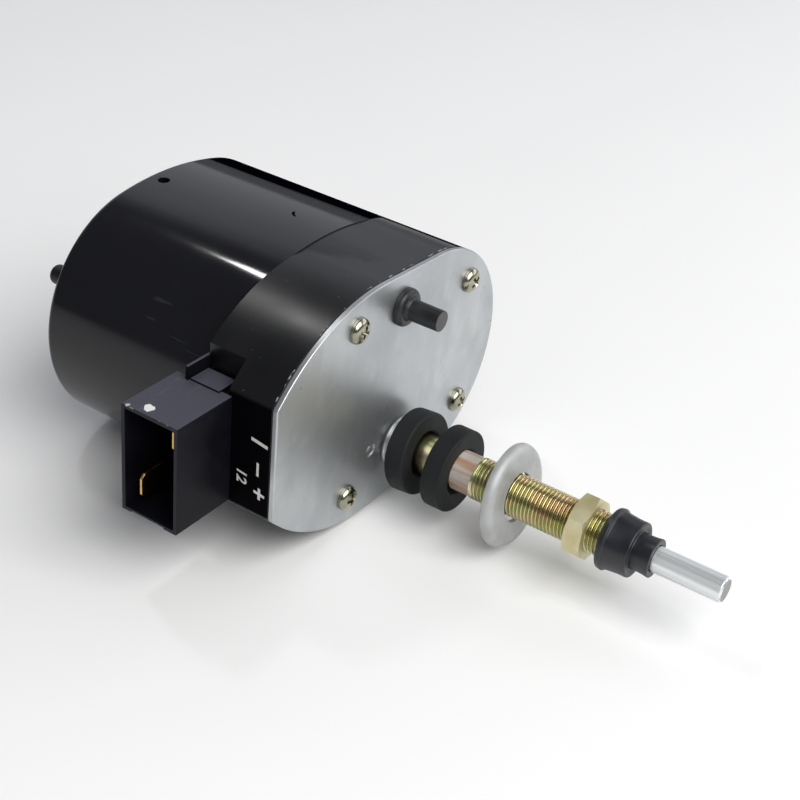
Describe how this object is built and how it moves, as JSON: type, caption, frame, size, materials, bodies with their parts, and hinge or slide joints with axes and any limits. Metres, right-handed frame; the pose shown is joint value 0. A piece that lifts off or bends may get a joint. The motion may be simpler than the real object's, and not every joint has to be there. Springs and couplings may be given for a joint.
{
  "type": "wiper motor",
  "caption": "Electric wiper motor: black can and flat-sided gear housing with a plug socket, a threaded spindle clamped through a panel, and an oscillating output shaft in a rubber boot.",
  "frame": {"origin": "on the output shaft's axis, in the plane of the cover plate's front face", "axes": "+X forward along the output shaft; +Z from the shaft towards the motor's middle line; the plug socket opens towards -Y"},
  "size_m": [0.2124, 0.1348, 0.0792],
  "materials": {
    "can_paint": "gloss black",
    "housing_paint": "semi-gloss black on a die casting",
    "zinc_plate": "zinc plated sheet",
    "gasket_paper": "gasket paper",
    "screw_nickel": "nickel plated",
    "stud_steel": "plain steel",
    "rubber": "matt black rubber",
    "boot_rubber": "satin black rubber",
    "chromate": "yellow chromate",
    "bronze": "sintered bronze",
    "bright_steel": "ground steel",
    "dark_steel": "phosphated steel",
    "washer_grey": "matt zinc",
    "nut_zinc": "pale yellow zinc",
    "connector_black": "satin dark grey-black",
    "blade_gold": "tinned brass with a gold tint",
    "board_brown": "laminate",
    "carbon": "carbon",
    "ferrite": "ferrite",
    "lamination": "varnished laminations",
    "copper": "enamelled copper wire",
    "commutator_copper": "bare copper",
    "nylon": "natural nylon"
  },
  "bodies": {
    "housing": {"motor_can": "can_paint", "gear_housing": "housing_paint", "cover_plate": "zinc_plate", "cover_gasket": "gasket_paper", "cover_screws": "screw_nickel", "mounting_stud": "stud_steel", "stud_sleeve": "rubber", "spindle_tube": "chromate", "rear_bush": "bronze", "front_bush": "bronze", "inner_grommet": "rubber", "outer_grommet": "rubber", "cup_washer": "washer_grey", "spindle_nut": "nut_zinc", "shaft_boot": "boot_rubber", "connector_shell": "connector_black", "terminal_blades": "blade_gold", "contact_board": "board_brown", "park_contacts": "blade_gold", "through_bolts": "dark_steel", "yoke_ring": "dark_steel", "field_magnets": "ferrite", "front_bearing": "bronze", "rear_bearing": "bronze", "brush_plate": "board_brown", "brush_holders": "blade_gold", "carbon_brushes": "carbon", "brush_springs": "bright_steel", "reduction_axle": "bright_steel", "crank_axle": "bright_steel"},
    "armature": {"armature_shaft": "bright_steel", "drive_pinion": "bright_steel", "armature_core": "lamination", "armature_windings": "copper", "commutator": "commutator_copper"},
    "reduction": {"reduction_gear": "nylon"},
    "crank": {"crank_gear": "nylon", "crank_pin": "bright_steel", "park_ring": "blade_gold", "rod_clip": "dark_steel"},
    "rod": {"connecting_rod": "dark_steel"},
    "output": {"output_shaft": "bright_steel", "output_lever": "dark_steel", "lever_pin": "bright_steel", "shaft_circlip": "dark_steel", "thrust_washers": "bright_steel"}
  },
  "joints": [
    {"name": "armature_spin", "type": "hinge", "parent": "housing", "child": "armature", "pos_m": [-0.062, 0.0005, 0.0206], "axis": [1, 0, 0], "continuous": true},
    {"name": "reduction_spin", "type": "hinge", "parent": "housing", "child": "reduction", "pos_m": [-0.022, 0.0212, 0.0206], "axis": [1, 0, 0], "continuous": true},
    {"name": "crank_spin", "type": "hinge", "parent": "housing", "child": "crank", "pos_m": [-0.019, -0.00225, 0.03154], "axis": [1, 0, 0], "continuous": true},
    {"name": "rod_turn", "type": "hinge", "parent": "crank", "child": "rod", "pos_m": [-0.015, -0.0117, 0.03269], "axis": [1, 0, 0], "continuous": true},
    {"name": "output_swing", "type": "hinge", "parent": "housing", "child": "output", "pos_m": [0, 0, 0], "axis": [1, 0, 0], "range_deg": [-52.5, 52.5]}
  ],
  "couplings": [
    {"joint": "reduction_spin", "follows": "armature_spin", "ratio": -0.15},
    {"joint": "crank_spin", "follows": "armature_spin", "ratio": 0.0225},
    {"joint": "rod_turn", "follows": "armature_spin", "ratio": -0.0225}
  ]
}
